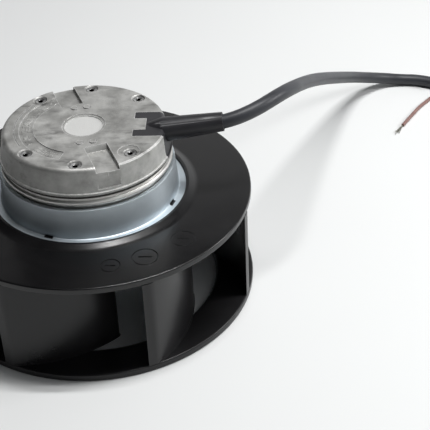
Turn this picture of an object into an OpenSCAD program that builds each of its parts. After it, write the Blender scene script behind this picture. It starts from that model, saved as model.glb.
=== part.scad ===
// Centrifugal fan: a backward-curved wheel on an external-rotor motor, standing on its inlet ring.
// Millimetres. +Z is the shaft axis, away from the inlet. +X is the cable outlet.

/* [Wheel] */
// Outer diameter of the wheel
wheel_d = 190; // [186:1:196]
// Width of the inlet ring, from its opening to the rim
ring_w = 23; // [22.5:0.1:24]
// Clear height between inlet ring and back plate
blade_h = 58.4; // [56:0.2:61]
// Thickness of a blade
blade_t = 2.4; // [2:0.1:3]
// Radius of the blade's outer face
blade_r = 79.4; // [76:0.2:84]
// Angle that a blade takes up on the wheel, from tip to leading edge
blade_wrap = 42.2; // [40:0.1:43]
// How far the blades reach in over the inlet opening
blade_reach = 7.7; // [6:0.1:9]
// Thickness of the inlet ring
ring_t = 4.4; // [4:0.1:5]
// Thickness of the back plate
plate_t = 4.1; // [3.6:0.1:4.6]

/* [Rotor] */
// Outer diameter of the rotor can
can_d = 99.7; // [99.2:0.1:100]
// Sheet thickness of the rotor can
can_wall = 1.5; // [1.2:0.1:1.6]
// Height of the collar above the back plate
collar_h = 19.5; // [19:0.1:20.5]
// Sheet thickness of the collar
collar_t = 1.15; // [1:0.05:1.25]
// Shaft diameter
shaft_d = 8; // [7.6:0.1:8]

/* [Stator and cover] */
// Running gap between the rotor's rim and the stator flange
rotor_gap = 1.8; // [1.5:0.1:2.2]
// Diameter of the stator flange and of the cover's foot
flange_d = 100; // [99.8:0.2:101]
// Height of the cover above its gasket
cover_h = 16.4; // [16:0.1:17]
// Wall thickness of the cover
cover_wall = 2.6; // [2.2:0.1:3]
// Head diameter of the cover screws
screw_head_d = 6.4; // [6:0.1:6.8]
// Number of stator teeth
tooth_count = 12; // [9, 12]

/* [Cable] */
// Sheath diameter of the cable
cable_d = 8.4; // [8:0.1:8.6]
// Insulation diameter of a lead
lead_d = 2.5; // [2.3:0.1:2.7]

/* [Hidden] */
$fn = 96;
eps = 0.01;

// Fits
seat_gap = 0.1;
race_gap = 0.04;
air_gap = 0.7;
sink_gap = 0.3;

// Wheel
wheel_r = wheel_d / 2;
inlet_r = wheel_r - ring_w;
blade_count = 7;
blade_pitch = 360 / blade_count;
first_tip = -65.2;
inlet_lip = 3.2;
rim_round = 0.9;
plate_z = ring_t + blade_h;
plate_top = plate_z + plate_t;

// Blade: a circular arc from the tip on the rim to the leading edge over the inlet
tip_half = 1.45;
edge_r = inlet_r - blade_reach;
weld_w = 0.45;
weld_h = 0.6;
blade_a = wheel_r * [cos(tip_half), sin(tip_half)];
blade_b = edge_r * [cos(blade_wrap), sin(blade_wrap)];
chord = blade_b - blade_a;
chord_n = [chord.y, -chord.x] / norm(chord);
blade_c = (blade_a + blade_b) / 2 - chord_n * sqrt(blade_r * blade_r - chord * chord / 4);
blade_from = atan2(blade_a.y - blade_c.y, blade_a.x - blade_c.x) - 4;
blade_to = atan2(blade_b.y - blade_c.y, blade_b.x - blade_c.x);

// Rotor
can_r = can_d / 2;
can_depth = 50.4;
rim_z = plate_top + collar_h;
can_z = rim_z - can_depth;
neck_h = 9;
neck_t = 2.4;
foot_r = can_r + 2.55;
rim_r = can_r + collar_t;
bead = 0.9;
collar_flange_w = 4.2;
collar_flange_r = foot_r + collar_flange_w;
hub_ring_in = collar_flange_r + 0.4;
hub_ring_top = hub_ring_in + 3.5;
hub_ring_foot = hub_ring_in + 7.3;
hub_ring_h = 1.9;
slot_angle = -110.15;
slot_count = 4;
slot_w = 5.4;
slot_in = can_r + 1.7;
slot_out = foot_r + 1.5;
stamp_r = 77;
stamps = [[-75.9, 5.7], [-61.1, 7.4], [-41.8, 7]];
magnet_t = 3.6;
magnet_lift = 16;
magnet_z = can_z + magnet_lift;
magnet_h = 28;
pole_count = 10;
pole_gap = 1.5;
shaft_r = shaft_d / 2;

// Stator
flange_z = rim_z + rotor_gap;
flange_r = flange_d / 2;
flange_t = 3.4;
spigot_h = 1.4;
spigot_r = flange_r - 1.4;
spigot_w = 3.4;
skirt_r = can_r - can_wall - 0.9;
skirt_t = 1.4;
skirt_h = 4;
rib_w = 6;
rib_h = 4;
gasket_z = flange_z + flange_t + spigot_h;
gasket_t = 1.2;
gasket_r = flange_r - 1.1;
core_lift = 19;
core_z = can_z + core_lift;
core_h = 20;
core_r = can_r - can_wall - magnet_t - air_gap;
yoke_r = 22;
tooth_w = 5;
shoe_t = 2.6;
shoe_gap = 2;
insulator_t = 1.2;
coil_t = 2;
coil_in = 24;
coil_out = 39;
tube_r = 13;
tube_lift = 11;
tube_z = can_z + tube_lift;
tube_step = 9.5;

// Bearings, 8 x 22 x 7
bearing_r = 11;
bearing_h = 7;
race_in = 6.1;
race_out = 8.9;
ball_r = 1.985;
ball_pitch = 7.5;
ball_count = 7;
cage_in = 6.6;
cage_out = 8.4;
cage_h = 5.2;
bearing_lift = 13;
low_z = can_z + bearing_lift;
up_z = flange_z - 8.2;
spring_t = 0.4;
spring_h = 1;
circlip_t = 0.8;
circlip_depth = 0.5;
shaft_top = up_z + bearing_h + circlip_t + 1.7;

// Cover
cover_z = gasket_z + gasket_t;
cover_top = cover_z + cover_h;
cover_top_r = flange_r - 2.7;
foot_h = 2.4;
foot_step = 0.7;
edge_round = 3;
roof_t = 3.5;
hollow_r = cover_top_r - cover_wall;
screw_circle = 41.2;
screw_angles = [-135, -90, -45, 45, 90, 135];
screw_r = 2;
socket_r = 1.5;
sink_h = screw_head_d / 2 + 0.7 - screw_r;
sink_z = cover_top - sink_h;
scoop_angle = -45;
scoop_x = screw_circle - 1.1;
scoop_r = 6.2;
scoop_depth = 0.35;
boss_r = 4.6;
recess_r = 12.4;
recess_step = 1.4;
notch_angles = [-67.5, 112.5];
notch_w = 13;
notch_in = 23.7;
notch_depth = 3;
notch_ramp = 2;
notch_skin = 2.2;
shoulder_from = notch_angles[0];
shoulder_sweep = -notch_angles[0];
shoulder_r = flange_r - 1.8;
shoulder_round = 0.8;
panel_r = flange_r - 2;
panel_z = cover_z + 3.8;
band_in = 29;
band_out = 37;
band_from = 120;
band_sweep = 135;
band_depth = 0.6;
line_r = 39.5;
mark_spots = [[111.7, 20.2], [91.4, 20], [-90.5, 18.9], [-67.5, 19.2]];
mark_r = 2.4;

// Electronics
board_z = flange_z + flange_t + 5.6;
board_t = 1.6;
board_r = 35.5;
board_hole_r = 6;
board_top = board_z + board_t;
post_r = 3;
post_circle = 30;
post_angles = [30, 150, 270];
cap_spots = [[17, 13], [17, -13], [-2, 20]];
cap_r = 4;
part_room = 0.5;
cap_h = cover_top - notch_depth - notch_skin - part_room - board_top;
choke_spot = [-19, 9];
choke_r = 7;
choke_in = 3.4;
choke_h = 5;
module_spot = [-22, -18];
module_size = [18, 12, 3.4];
block_x = 24.5;
block_size = [9, 12, 6];
pole_r = 1.4;

// Cable gland
fork_w = 12.8;
fork_in = 6.2;
fork_x = 29;
crotch_x = 36;
plug_x = 40;
grip_x = 46;
sleeve_x = 80;
sleeve_z = cover_top + 0.7;
sleeve_tilt = 7.7;
sleeve_root_r = 5.4;
sleeve_foot_r = 7.2;
sleeve_end_r = 5.5;
root_x = crotch_x + 1.4;
function sleeve_at(x) = [x, 0, sleeve_z + (x - sleeve_x) * tan(sleeve_tilt)];

// Cable route: out of the sleeve, down in a wide bow and along the floor
cable_r = cable_d / 2;
cable_sides = 10;
cable_route = [sleeve_at(root_x + 1), sleeve_at(51), sleeve_at(66), sleeve_at(sleeve_x),
  [87.5, 1.4, sleeve_z + 1.5], [94.5, 4.3, sleeve_z + 3], [101, 8.7, sleeve_z + 4.1],
  [106.5, 14.1, sleeve_z + 4.6], [111.3, 20, sleeve_z + 4.4], [115, 26.1, sleeve_z + 3.2],
  [120.3, 39.1, sleeve_z - 1.4], [123.8, 52.5, sleeve_z - 7.5], [130.5, 79, sleeve_z - 20.3],
  [137.6, 105.6, sleeve_z - 33.9], [145, 131.6, sleeve_z - 47.9], [153, 157.3, sleeve_z - 62.1],
  [161.5, 182.8, 34.9], [166.3, 195.2, 27.9], [172.2, 207.2, 21], [180, 217.8, 14.6],
  [190, 226.2, 9.3], [197.4, 229.8, 6.7], [204.6, 231.5, 5], [212, 231.9, cable_r],
  [219.6, 231.1, cable_r], [226.8, 229, cable_r], [233.5, 226, cable_r]];

// Leads out of the sheath, then along the floor
lead_r = lead_d / 2;
lead_sides = 8;
strand_r = 0.7;
brown_route = [[232.9, 224.6, 3.4], [235.6, 223.2, 2.9], [237.4, 220.6, 2.1], [237.3, 217.6, 1.5],
  [235.6, 215.2, lead_r], [230.6, 209.7, lead_r], [225.2, 203, lead_r], [219.8, 196, lead_r],
  [212, 183, lead_r], [204.5, 170, lead_r]];
blue_route = [[234.1, 227.4, 3.4], [238.5, 225.6, 2.4], [244, 225.2, 1.5], [249.5, 227.5, lead_r],
  [253.5, 232, lead_r], [255.5, 239, lead_r], [255, 247, lead_r], [252.5, 255, lead_r],
  [249, 262, lead_r], [246, 270, lead_r]];
earth_route = [[233.5, 226, 6], [237.5, 224.3, 5.6], [242, 221.6, 3.8], [247, 218, 1.8],
  [252, 213.5, lead_r], [256, 207.5, lead_r], [258, 200, lead_r], [258, 192, lead_r],
  [256, 184, lead_r], [254, 177, lead_r]];
brown_strands = [brown_route[9], [202.4, 166.2, 1], [199.6, 160.6, strand_r]];
blue_strands = [blue_route[9], [244.6, 274, 1], [243, 279, strand_r]];
earth_strands = [earth_route[9], [252.8, 172.8, 1], [251.4, 167.6, strand_r]];

// Colours
c_plastic = [0.16, 0.16, 0.17];
c_zinc = [0.62, 0.65, 0.68];
c_cast = [0.66, 0.66, 0.65];
c_steel = [0.75, 0.75, 0.76];
c_rubber = [0.13, 0.13, 0.14];
c_copper = [0.72, 0.41, 0.2];

// A tube of round section along a list of points
function unit(v) = v / norm(v);
function heading(p, i) = unit(p[min(i + 1, len(p) - 1)] - p[max(i - 1, 0)]);
function hoop(p, i, r, n) =
  let (t = heading(p, i), side = unit(cross(t, [0, 0, 1])), up = cross(side, t))
  [for (k = [0 : n - 1]) p[i] + r * (cos(360 * k / n) * side + sin(360 * k / n) * up)];

module tube_along(p, r, n) {
  last = len(p) - 1;
  points = [for (i = [0 : last]) each hoop(p, i, r, n)];
  walls = [for (i = [0 : last - 1], k = [0 : n - 1], half = [0, 1])
    let (a = i * n + k, b = i * n + (k + 1) % n)
    half == 0 ? [a, b, b + n] : [a, b + n, a + n]];
  caps = [[for (k = [n - 1 : -1 : 0]) k], [for (k = [0 : n - 1]) last * n + k]];
  polyhedron(points, concat(walls, caps), convexity = 6);
}

// Plane figures
module ring_2d(outer, inner) {
  difference() {
    circle(outer);
    circle(inner);
  }
}

// Rectangle in a half section, rounded on its outer side
module rim_2d(inner, outer, z0, z1, r) {
  translate([inner, z0]) square([outer - r - inner, z1 - z0]);
  translate([inner, z0 + r]) square([outer - inner, z1 - z0 - 2 * r]);
  translate([outer - r, z0 + r]) circle(r);
  translate([outer - r, z1 - r]) circle(r);
}

module round_box_2d(w, h, r) {
  square([w - 2 * r, h], center = true);
  square([w, h - 2 * r], center = true);
  for (x = [-1, 1], y = [-1, 1]) translate([x * (w / 2 - r), y * (h / 2 - r)]) circle(r);
}

module sector_2d(outer, inner, from, sweep) {
  far = 2 * outer;
  intersection() {
    ring_2d(outer, inner);
    polygon([[0, 0], for (k = [0 : 3]) far * [cos(from + sweep * k / 3), sin(from + sweep * k / 3)]]);
  }
}

module at_screws() {
  for (a = screw_angles) rotate(a) translate([screw_circle, 0, 0]) children();
}

// Wheel
module inlet_ring() {
  color(c_plastic) rotate_extrude() {
    rim_2d(inlet_r + inlet_lip, wheel_r, 0, ring_t, rim_round);
    translate([inlet_r, 0]) square([inlet_lip, ring_t - inlet_lip]);
    intersection() {
      translate([inlet_r + inlet_lip, ring_t - inlet_lip]) circle(inlet_lip);
      translate([inlet_r, 0]) square([inlet_lip, ring_t]);
    }
  }
}

module blade_section(grow) {
  intersection() {
    circle(wheel_r);
    translate(blade_c) {
      intersection() {
        ring_2d(blade_r + grow, blade_r - blade_t - grow);
        polygon([[0, 0], for (a = [blade_from, blade_to]) 2 * blade_r * [cos(a), sin(a)]]);
      }
      rotate(blade_to) translate([blade_r - blade_t / 2, 0]) circle(blade_t / 2 + grow);
    }
  }
}

// A blade with the flash of its weld on the inlet ring
module blade(k) {
  color(c_plastic) rotate(first_tip + (k - 1) * blade_pitch) translate([0, 0, ring_t]) {
    linear_extrude(blade_h) blade_section(0);
    linear_extrude(weld_h) blade_section(weld_w);
  }
}

module back_plate() {
  color(c_plastic) difference() {
    union() {
      rotate_extrude() {
        rim_2d(can_r + seat_gap, wheel_r, plate_z, plate_top, rim_round);
        polygon([[hub_ring_in, plate_top - eps], [hub_ring_foot, plate_top - eps],
          [hub_ring_top + 1.2, plate_top + hub_ring_h - 0.5], [hub_ring_top, plate_top + hub_ring_h],
          [hub_ring_in, plate_top + hub_ring_h]]);
      }
      for (k = [0 : slot_count - 1]) rotate(slot_angle + 360 * k / slot_count)
        translate([slot_in + seat_gap, -slot_w / 2 + seat_gap, plate_top - eps])
          cube([slot_out - slot_in - 2 * seat_gap, slot_w - 2 * seat_gap, collar_t + eps]);
    }
    for (s = stamps) rotate(s[0]) translate([stamp_r, 0, plate_top - 0.35]) {
      linear_extrude(1) ring_2d(s[1], s[1] - 0.6);
      rotate(-s[0]) translate([-s[1] / 2, -0.5, 0]) cube([s[1], 1, 1]);
    }
  }
}

// Rotor
module wheel_collar() {
  color(c_zinc) difference() {
    rotate_extrude() polygon([[foot_r - collar_t, plate_top], [collar_flange_r, plate_top],
      [collar_flange_r, plate_top + collar_t], [foot_r + bead, plate_top + collar_t],
      [foot_r + 0.25, plate_top + collar_t + 0.3], [foot_r, plate_top + collar_t + bead],
      [rim_r, rim_z], [can_r, rim_z], [can_r, rim_z - 6], [foot_r - collar_t, plate_top + 4]]);
    for (k = [0 : slot_count - 1]) rotate(slot_angle + 360 * k / slot_count)
      translate([slot_in, -slot_w / 2, plate_top - 1])
        cube([slot_out - slot_in, slot_w, collar_t + bead + 1.2]);
  }
}

module rotor_can() {
  top = rim_z - 0.4;
  in_r = can_r - can_wall;
  color(c_zinc) rotate_extrude() polygon([[shaft_r, can_z], [can_r - 4, can_z], [can_r - 1.2, can_z + 1.2],
    [can_r, can_z + 4], [can_r, top], [in_r, top], [in_r, can_z + 4.6],
    [in_r - 0.9, can_z + can_wall + 0.9], [in_r - 3, can_z + can_wall],
    [shaft_r + neck_t + 1, can_z + can_wall], [shaft_r + neck_t, can_z + can_wall + 1],
    [shaft_r + neck_t, can_z + neck_h], [shaft_r, can_z + neck_h]]);
}

module rotor_magnets() {
  in_r = can_r - can_wall - magnet_t;
  pole = 360 / pole_count;
  color([0.2, 0.2, 0.22]) for (k = [0 : pole_count - 1]) rotate(k * pole + pole_gap / 2)
    translate([0, 0, magnet_z]) rotate_extrude(angle = pole - pole_gap)
      translate([in_r, 0]) square([magnet_t, magnet_h]);
}

module shaft() {
  groove_z = up_z + bearing_h;
  color(c_steel) difference() {
    rotate_extrude() polygon([[0, can_z - 1], [shaft_r - 0.6, can_z - 1], [shaft_r, can_z - 0.4],
      [shaft_r, shaft_top - 0.6], [shaft_r - 0.6, shaft_top], [0, shaft_top]]);
    translate([0, 0, groove_z]) linear_extrude(circlip_t) ring_2d(shaft_r + 1, shaft_r - circlip_depth);
  }
}

module shaft_circlip() {
  color(c_steel) rotate(20) translate([0, 0, up_z + bearing_h]) rotate_extrude(angle = 320)
    translate([shaft_r - circlip_depth, 0]) square([1.9, circlip_t]);
}

// Bearings
module race(z, inner, outer) {
  color(c_steel) translate([0, 0, z]) rotate_extrude() difference() {
    translate([inner, 0]) square([outer - inner, bearing_h]);
    translate([ball_pitch, bearing_h / 2]) circle(ball_r + race_gap);
  }
}

module balls(z) {
  color(c_steel) translate([0, 0, z + bearing_h / 2]) for (k = [0 : ball_count - 1])
    rotate(360 * k / ball_count) translate([ball_pitch, 0, 0]) sphere(ball_r);
}

module cage(z) {
  color([0.8, 0.7, 0.45]) translate([0, 0, z + bearing_h / 2]) difference() {
    translate([0, 0, -cage_h / 2]) linear_extrude(cage_h) ring_2d(cage_out, cage_in);
    for (k = [0 : ball_count - 1]) rotate(360 * k / ball_count) translate([cage_in - 1, 0, 0])
      rotate([0, 90, 0]) cylinder(r = ball_r + seat_gap, h = 4);
  }
}

module preload_spring() {
  inner = tube_step + 0.1;
  outer = bearing_r - 0.2;
  color(c_steel) translate([0, 0, up_z - spring_h]) {
    rotate_extrude() translate([inner, 0]) square([outer - inner, spring_t]);
    for (a = [0, 120, 240]) rotate(a - 12) rotate_extrude(angle = 24)
      translate([inner + 0.2, spring_t / 2]) square([outer - inner - 0.4, spring_h - spring_t / 2]);
  }
}

// Stator
module tooth_star(width, tip_gap) {
  ring_2d(yoke_r, tube_r);
  for (k = [0 : tooth_count - 1]) rotate(360 * k / tooth_count) {
    translate([yoke_r - 1, -width / 2]) square([core_r - shoe_t - yoke_r + 2, width]);
    sector_2d(core_r, core_r - shoe_t, -180 / tooth_count + tip_gap, 360 / tooth_count - 2 * tip_gap);
  }
}

module stator_core() {
  color([0.45, 0.46, 0.48]) translate([0, 0, core_z]) linear_extrude(core_h) tooth_star(tooth_w, shoe_gap);
}

module insulator(z) {
  color([0.85, 0.83, 0.76]) translate([0, 0, z]) linear_extrude(insulator_t)
    tooth_star(tooth_w, shoe_gap + 1);
}

module stator_windings() {
  window = core_h + 2 * insulator_t;
  color(c_copper) for (k = [0 : tooth_count - 1]) rotate(360 * k / tooth_count)
    translate([coil_in, 0, core_z + core_h / 2]) rotate([90, 0, 90]) linear_extrude(coil_out - coil_in)
      difference() {
        round_box_2d(tooth_w + 2 * coil_t, window + 2 * coil_t, 1.8);
        square([tooth_w, window], center = true);
      }
}

module stator_flange() {
  top = flange_z + flange_t;
  color(c_cast) difference() {
    union() {
      rotate_extrude() {
        rim_2d(bearing_r, flange_r, flange_z, top, flange_t / 2 - 0.2);
        translate([spigot_r - spigot_w, top - eps]) square([spigot_w, spigot_h + eps]);
        translate([bearing_r, tube_z]) square([tube_r - bearing_r, flange_z - tube_z + eps]);
        translate([tube_step, low_z + bearing_h])
          square([bearing_r - tube_step + eps, up_z - spring_h - low_z - bearing_h]);
        translate([skirt_r - skirt_t, flange_z - skirt_h]) square([skirt_t, skirt_h + eps]);
        polygon([[tube_r - eps, flange_z + eps], [tube_r + rib_w, flange_z + eps],
          [tube_r - eps, flange_z - rib_h]]);
      }
      at_screws() translate([0, 0, top - eps]) cylinder(r = boss_r, h = spigot_h + eps);
      for (a = post_angles) rotate(a) translate([post_circle, 0, top - eps])
        cylinder(r = post_r, h = board_z - top + eps);
    }
    at_screws() translate([0, 0, flange_z + 1]) cylinder(r = screw_r, h = gasket_z - flange_z);
  }
}

module cover_gasket() {
  color(c_rubber) translate([0, 0, gasket_z]) linear_extrude(gasket_t) difference() {
    union() {
      ring_2d(gasket_r, spigot_r - spigot_w);
      at_screws() circle(boss_r);
    }
    at_screws() circle(screw_r + seat_gap);
  }
}

// Cover
module cover_envelope() {
  r = edge_round;
  foot_top = cover_z + foot_h;
  rotate_extrude() polygon([[0, cover_z], [gasket_r, cover_z], [flange_r, cover_z + 1.1],
    [flange_r, foot_top - 0.3], [flange_r - 0.3, foot_top], [flange_r - foot_step, foot_top],
    for (a = [0 : 18 : 90])
      [cover_top_r - r + r * cos(a), cover_top - r + r * sin(a)], [0, cover_top]]);
}

// Crisp shoulder between the front notch and the cable gland
module cover_shoulder() {
  r = shoulder_round;
  in_r = cover_top_r - edge_round - 0.3;
  top = cover_top - eps;
  rotate(shoulder_from) rotate_extrude(angle = shoulder_sweep)
    polygon([[in_r, cover_z + foot_h + 1], [flange_r - foot_step - 0.4, cover_z + foot_h + 1],
      [shoulder_r, top - r], [shoulder_r - r, top], [in_r, top]]);
}

module notch(grow, depth) {
  x0 = notch_in - grow;
  for (a = notch_angles) rotate(a) translate([0, notch_w / 2 + grow, cover_top]) rotate([90, 0, 0])
    linear_extrude(notch_w + 2 * grow) polygon([[x0, 1], [x0, 0], [x0 + notch_ramp, -depth],
      [2 * flange_r, -depth], [2 * flange_r, 1]]);
}

module electronics_cover() {
  color(c_cast) difference() {
    union() {
      cover_envelope();
      cover_shoulder();
    }
    difference() {
      translate([0, 0, cover_z - 1]) cylinder(r = hollow_r, h = cover_h - roof_t + 1);
      at_screws() translate([0, 0, cover_z - 2]) cylinder(r = boss_r, h = cover_h);
      notch(notch_skin, notch_depth + notch_skin);
    }
    at_screws() {
      translate([0, 0, cover_z - 1]) cylinder(r = screw_r + seat_gap, h = cover_h + 2);
      translate([0, 0, sink_z])
        cylinder(r1 = screw_r + sink_gap, r2 = screw_r + sink_gap + sink_h + 1, h = sink_h + 1);
    }
    rotate(scoop_angle) translate([scoop_x, 0, cover_top - scoop_depth]) cylinder(r = scoop_r, h = 1);
    notch(0, notch_depth);
    for (a = notch_angles) rotate(a) translate([panel_r, -notch_w / 2, panel_z])
      cube([10, notch_w, cover_h]);
    translate([0, 0, cover_top - 0.5]) cylinder(r = recess_r, h = 2);
    translate([0, 0, cover_top - 1.1]) cylinder(r = recess_r - recess_step, h = 2);
    translate([0, 0, cover_top - band_depth]) linear_extrude(2)
      sector_2d(band_out, band_in, band_from, band_sweep);
    translate([0, 0, cover_top - 0.4]) linear_extrude(2) sector_2d(line_r + 0.5, line_r, 143, 70);
    for (m = mark_spots) rotate(m[0]) translate([m[1], 0, cover_top - 0.3])
      linear_extrude(1) ring_2d(mark_r, mark_r - 0.5);
    gland_plug(seat_gap);
  }
}

// Countersunk screws with a dished head
module cover_screws() {
  head_r = screw_head_d / 2;
  head_h = head_r - screw_r;
  dish = 0.5;
  color(c_steel) at_screws() difference() {
    union() {
      translate([0, 0, flange_z + 2]) cylinder(r = screw_r, h = sink_z - flange_z - 2 + eps);
      translate([0, 0, sink_z]) cylinder(r1 = screw_r, r2 = head_r, h = head_h);
    }
    translate([0, 0, sink_z + head_h - dish])
      cylinder(r1 = socket_r, r2 = head_r - 0.2, h = dish + eps);
    translate([0, 0, sink_z + head_h - dish - 1.2]) cylinder(r = socket_r, h = 5, $fn = 6);
  }
}

// Cable gland: a forked plug in the cover's edge, with a bend sleeve for the cable
module gland_plug(grow) {
  w = fork_w + grow;
  in_w = fork_in - grow;
  x0 = fork_x - grow;
  x1 = crotch_x - grow;
  intersection() {
    union() {
      translate([0, 0, cover_top - roof_t - 1]) linear_extrude(roof_t + 2)
        polygon([[x0, in_w], [x0, w], [flange_r + 4, w], [flange_r + 4, -w], [x0, -w], [x0, -in_w],
          [x1, -in_w], [x1, in_w]]);
      translate([plug_x - grow, -w, cover_z - 2]) cube([flange_r - plug_x + 10, 2 * w, cover_h + 4]);
    }
    if (grow > 0) translate([-2 * flange_r, -2 * flange_r, cover_z - 1])
      cube([4 * flange_r, 4 * flange_r, 2 * cover_h]);
    else cover_envelope();
  }
}

module along_sleeve(from, to, r_from, r_to) {
  translate(sleeve_at(from)) rotate([0, 90 - sleeve_tilt, 0])
    cylinder(r1 = r_from, r2 = r_to, h = (to - from) / cos(sleeve_tilt));
}

module cable_gland() {
  bore_r = cable_r + seat_gap;
  color(c_plastic) difference() {
    union() {
      gland_plug(0);
      along_sleeve(root_x, grip_x, sleeve_root_r, sleeve_foot_r);
      along_sleeve(grip_x, sleeve_x, sleeve_foot_r, sleeve_end_r);
    }
    along_sleeve(root_x - 5, sleeve_x + 5, bore_r, bore_r);
  }
}

// Electronics
module circuit_board() {
  color([0.1, 0.35, 0.2]) translate([0, 0, board_z]) difference() {
    cylinder(r = board_r, h = board_t);
    translate([0, 0, -1]) cylinder(r = board_hole_r, h = board_t + 2);
  }
}

module capacitors() {
  color([0.25, 0.27, 0.32]) for (p = cap_spots) translate([p.x, p.y, board_top])
    cylinder(r = cap_r, h = cap_h);
}

module choke() {
  color([0.35, 0.3, 0.18]) translate([choke_spot.x, choke_spot.y, board_top]) linear_extrude(choke_h)
    ring_2d(choke_r, choke_in);
}

module power_module() {
  color([0.12, 0.12, 0.13]) translate([module_spot.x, module_spot.y, board_top]) cube(module_size);
}

module terminal_block() {
  color([0.3, 0.45, 0.3]) translate([block_x, -block_size.y / 2, board_top]) difference() {
    cube(block_size);
    for (k = [1, 3, 5]) translate([block_size.x / 2 - 0.5, block_size.y * k / 6, block_size.z / 2])
      rotate([0, 90, 0]) cylinder(r = pole_r, h = block_size.x);
  }
}

// Cable and leads
module power_cable() {
  color(c_rubber) tube_along(cable_route, cable_r, cable_sides);
}

module lead(route, paint) {
  color(paint) tube_along(route, lead_r, lead_sides);
}

module lead_ends() {
  color([0.75, 0.75, 0.72]) for (s = [brown_strands, blue_strands, earth_strands])
    tube_along(s, strand_r, lead_sides);
}

electronics_cover();
cover_gasket();
cover_screws();
stator_flange();
cable_gland();
circuit_board();
capacitors();
choke();
power_module();
terminal_block();
stator_core();
insulator(core_z + core_h);  // upper_insulator
insulator(core_z - insulator_t);  // lower_insulator
stator_windings();
race(up_z, race_out, bearing_r);  // upper_outer_ring
race(low_z, race_out, bearing_r);  // lower_outer_ring
preload_spring();
rotor_can();
wheel_collar();
rotor_magnets();
shaft();
shaft_circlip();
race(up_z, shaft_r, race_in);  // upper_inner_ring
race(low_z, shaft_r, race_in);  // lower_inner_ring
balls(up_z);  // upper_balls
balls(low_z);  // lower_balls
cage(up_z);  // upper_cage
cage(low_z);  // lower_cage
back_plate();
blade(1);  // blade_1
blade(2);  // blade_2
blade(3);  // blade_3
blade(4);  // blade_4
blade(5);  // blade_5
blade(6);  // blade_6
blade(7);  // blade_7
inlet_ring();
power_cable();
lead(brown_route, [0.55, 0.38, 0.34]);  // lead_brown
lead(blue_route, [0.2, 0.35, 0.65]);  // lead_blue
lead(earth_route, [0.45, 0.6, 0.25]);  // lead_earth
lead_ends();
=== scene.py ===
import math

import bmesh
import bpy
from mathutils import Matrix, Vector


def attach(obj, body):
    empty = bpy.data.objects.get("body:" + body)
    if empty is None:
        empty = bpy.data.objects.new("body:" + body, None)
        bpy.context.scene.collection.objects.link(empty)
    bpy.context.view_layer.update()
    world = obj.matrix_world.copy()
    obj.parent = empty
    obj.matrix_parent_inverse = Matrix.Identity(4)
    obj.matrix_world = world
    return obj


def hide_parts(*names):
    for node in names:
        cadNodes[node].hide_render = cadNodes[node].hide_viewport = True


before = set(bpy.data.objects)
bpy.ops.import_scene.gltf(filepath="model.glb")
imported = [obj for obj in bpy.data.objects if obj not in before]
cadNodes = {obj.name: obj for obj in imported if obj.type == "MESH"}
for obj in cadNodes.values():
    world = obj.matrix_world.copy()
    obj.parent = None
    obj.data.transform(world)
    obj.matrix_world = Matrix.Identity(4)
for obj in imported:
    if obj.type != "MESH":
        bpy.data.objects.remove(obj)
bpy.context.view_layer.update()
scene = bpy.context.scene
scene.view_settings.view_transform = "Standard"
mm = 0.001
print("frame loaded:", len(cadNodes), "nodes")

# camera at the photo's viewpoint
cameraSetup = {
    "place": (0.1040, -0.5841, 0.4695),
    "right": (0.9990, 0.0269, -0.0361),
    "up": (0.0134, 0.5878, 0.8089),
    "back": (0.0430, -0.8086, 0.5868),
    "lens": 100.59,
    "sensor": 36.0,
    "clip": (0.01, 20),
}


def addCamera(setup):
    data = bpy.data.cameras.new("studioCamera")
    data.lens = setup["lens"]
    data.sensor_width = setup["sensor"]
    data.clip_start, data.clip_end = setup["clip"]
    camera = bpy.data.objects.new("studioCamera", data)
    axes = Matrix((setup["right"], setup["up"], setup["back"])).transposed()
    camera.rotation_mode = "QUATERNION"
    camera.rotation_quaternion = axes.to_quaternion()
    camera.location = setup["place"]
    scene.collection.objects.link(camera)
    scene.camera = camera


addCamera(cameraSetup)
print("camera set")


# small helpers
def putInScene(name, mesh):
    piece = bpy.data.objects.new(name, mesh)
    scene.collection.objects.link(piece)
    return piece


def paint(piece, material):
    piece.data.materials.clear()
    piece.data.materials.append(material)


def smoothByAngle(mesh, degrees):
    mesh.shade_smooth()
    mesh.set_sharp_from_angle(angle=math.radians(degrees))


def bakeModifiers(piece):
    graph = bpy.context.evaluated_depsgraph_get()
    mesh = bpy.data.meshes.new_from_object(piece.evaluated_get(graph))
    piece.modifiers.clear()
    old = piece.data
    piece.data = mesh
    bpy.data.meshes.remove(old)


# shader groups that the finishes share
def shaderGroup(name, inputs, outputs):
    group = bpy.data.node_groups.new(name, "ShaderNodeTree")
    for label, value in inputs.items():
        socket = group.interface.new_socket(label, in_out="INPUT", socket_type="NodeSocketFloat")
        socket.default_value = value
    for label in outputs:
        group.interface.new_socket(label, in_out="OUTPUT", socket_type="NodeSocketFloat")
    ends = group.nodes.new("NodeGroupInput"), group.nodes.new("NodeGroupOutput")
    return group, ends[0].outputs, ends[1].inputs


def noiseNode(tree, scale, detail=4.0, roughness=0.55, stretch=None):
    coords = tree.nodes.new("ShaderNodeTexCoord")
    noise = tree.nodes.new("ShaderNodeTexNoise")
    noise.inputs["Detail"].default_value = detail
    noise.inputs["Roughness"].default_value = roughness
    source = coords.outputs["Object"]
    if stretch:
        mapping = tree.nodes.new("ShaderNodeMapping")
        mapping.inputs["Scale"].default_value = stretch
        tree.links.new(source, mapping.inputs["Vector"])
        source = mapping.outputs["Vector"]
    tree.links.new(source, noise.inputs["Vector"])
    if isinstance(scale, (int, float)):
        noise.inputs["Scale"].default_value = scale
    else:
        tree.links.new(scale, noise.inputs["Scale"])
    return noise.outputs["Fac"]


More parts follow.
